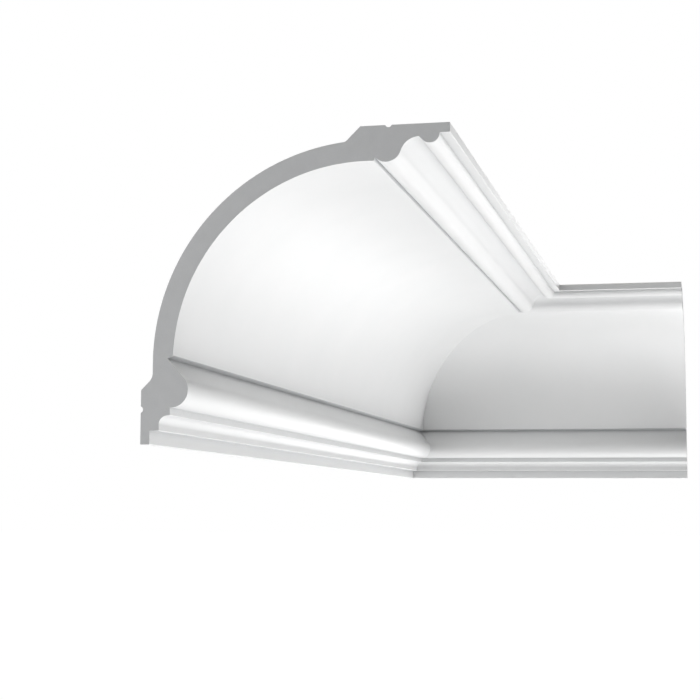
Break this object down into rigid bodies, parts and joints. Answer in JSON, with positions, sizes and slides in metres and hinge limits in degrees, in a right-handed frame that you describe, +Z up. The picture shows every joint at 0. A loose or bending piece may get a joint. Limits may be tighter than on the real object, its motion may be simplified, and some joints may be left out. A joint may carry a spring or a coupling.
{
  "type": "cove cornice moulding section",
  "caption": "Cove cornice moulding with an ovolo at the wall and a torus, hollow and bead at the ceiling, in mitred lengths for an inside corner.",
  "frame": {"origin": "the room corner at the moulding's lower edge, where both wall faces and the level of the lower edge meet", "axes": "+X runs out from the left wall and along the back length, -Y runs out from the back wall and along the left length, +Z is up to the ceiling"},
  "size_m": [0.372, 1.05, 0.228],
  "materials": {
    "primed_polyurethane": "moulded rigid polyurethane, factory primed matt white"
  },
  "bodies": {
    "root": {"left_length": "primed_polyurethane", "back_length": "primed_polyurethane"}
  },
  "joints": []
}
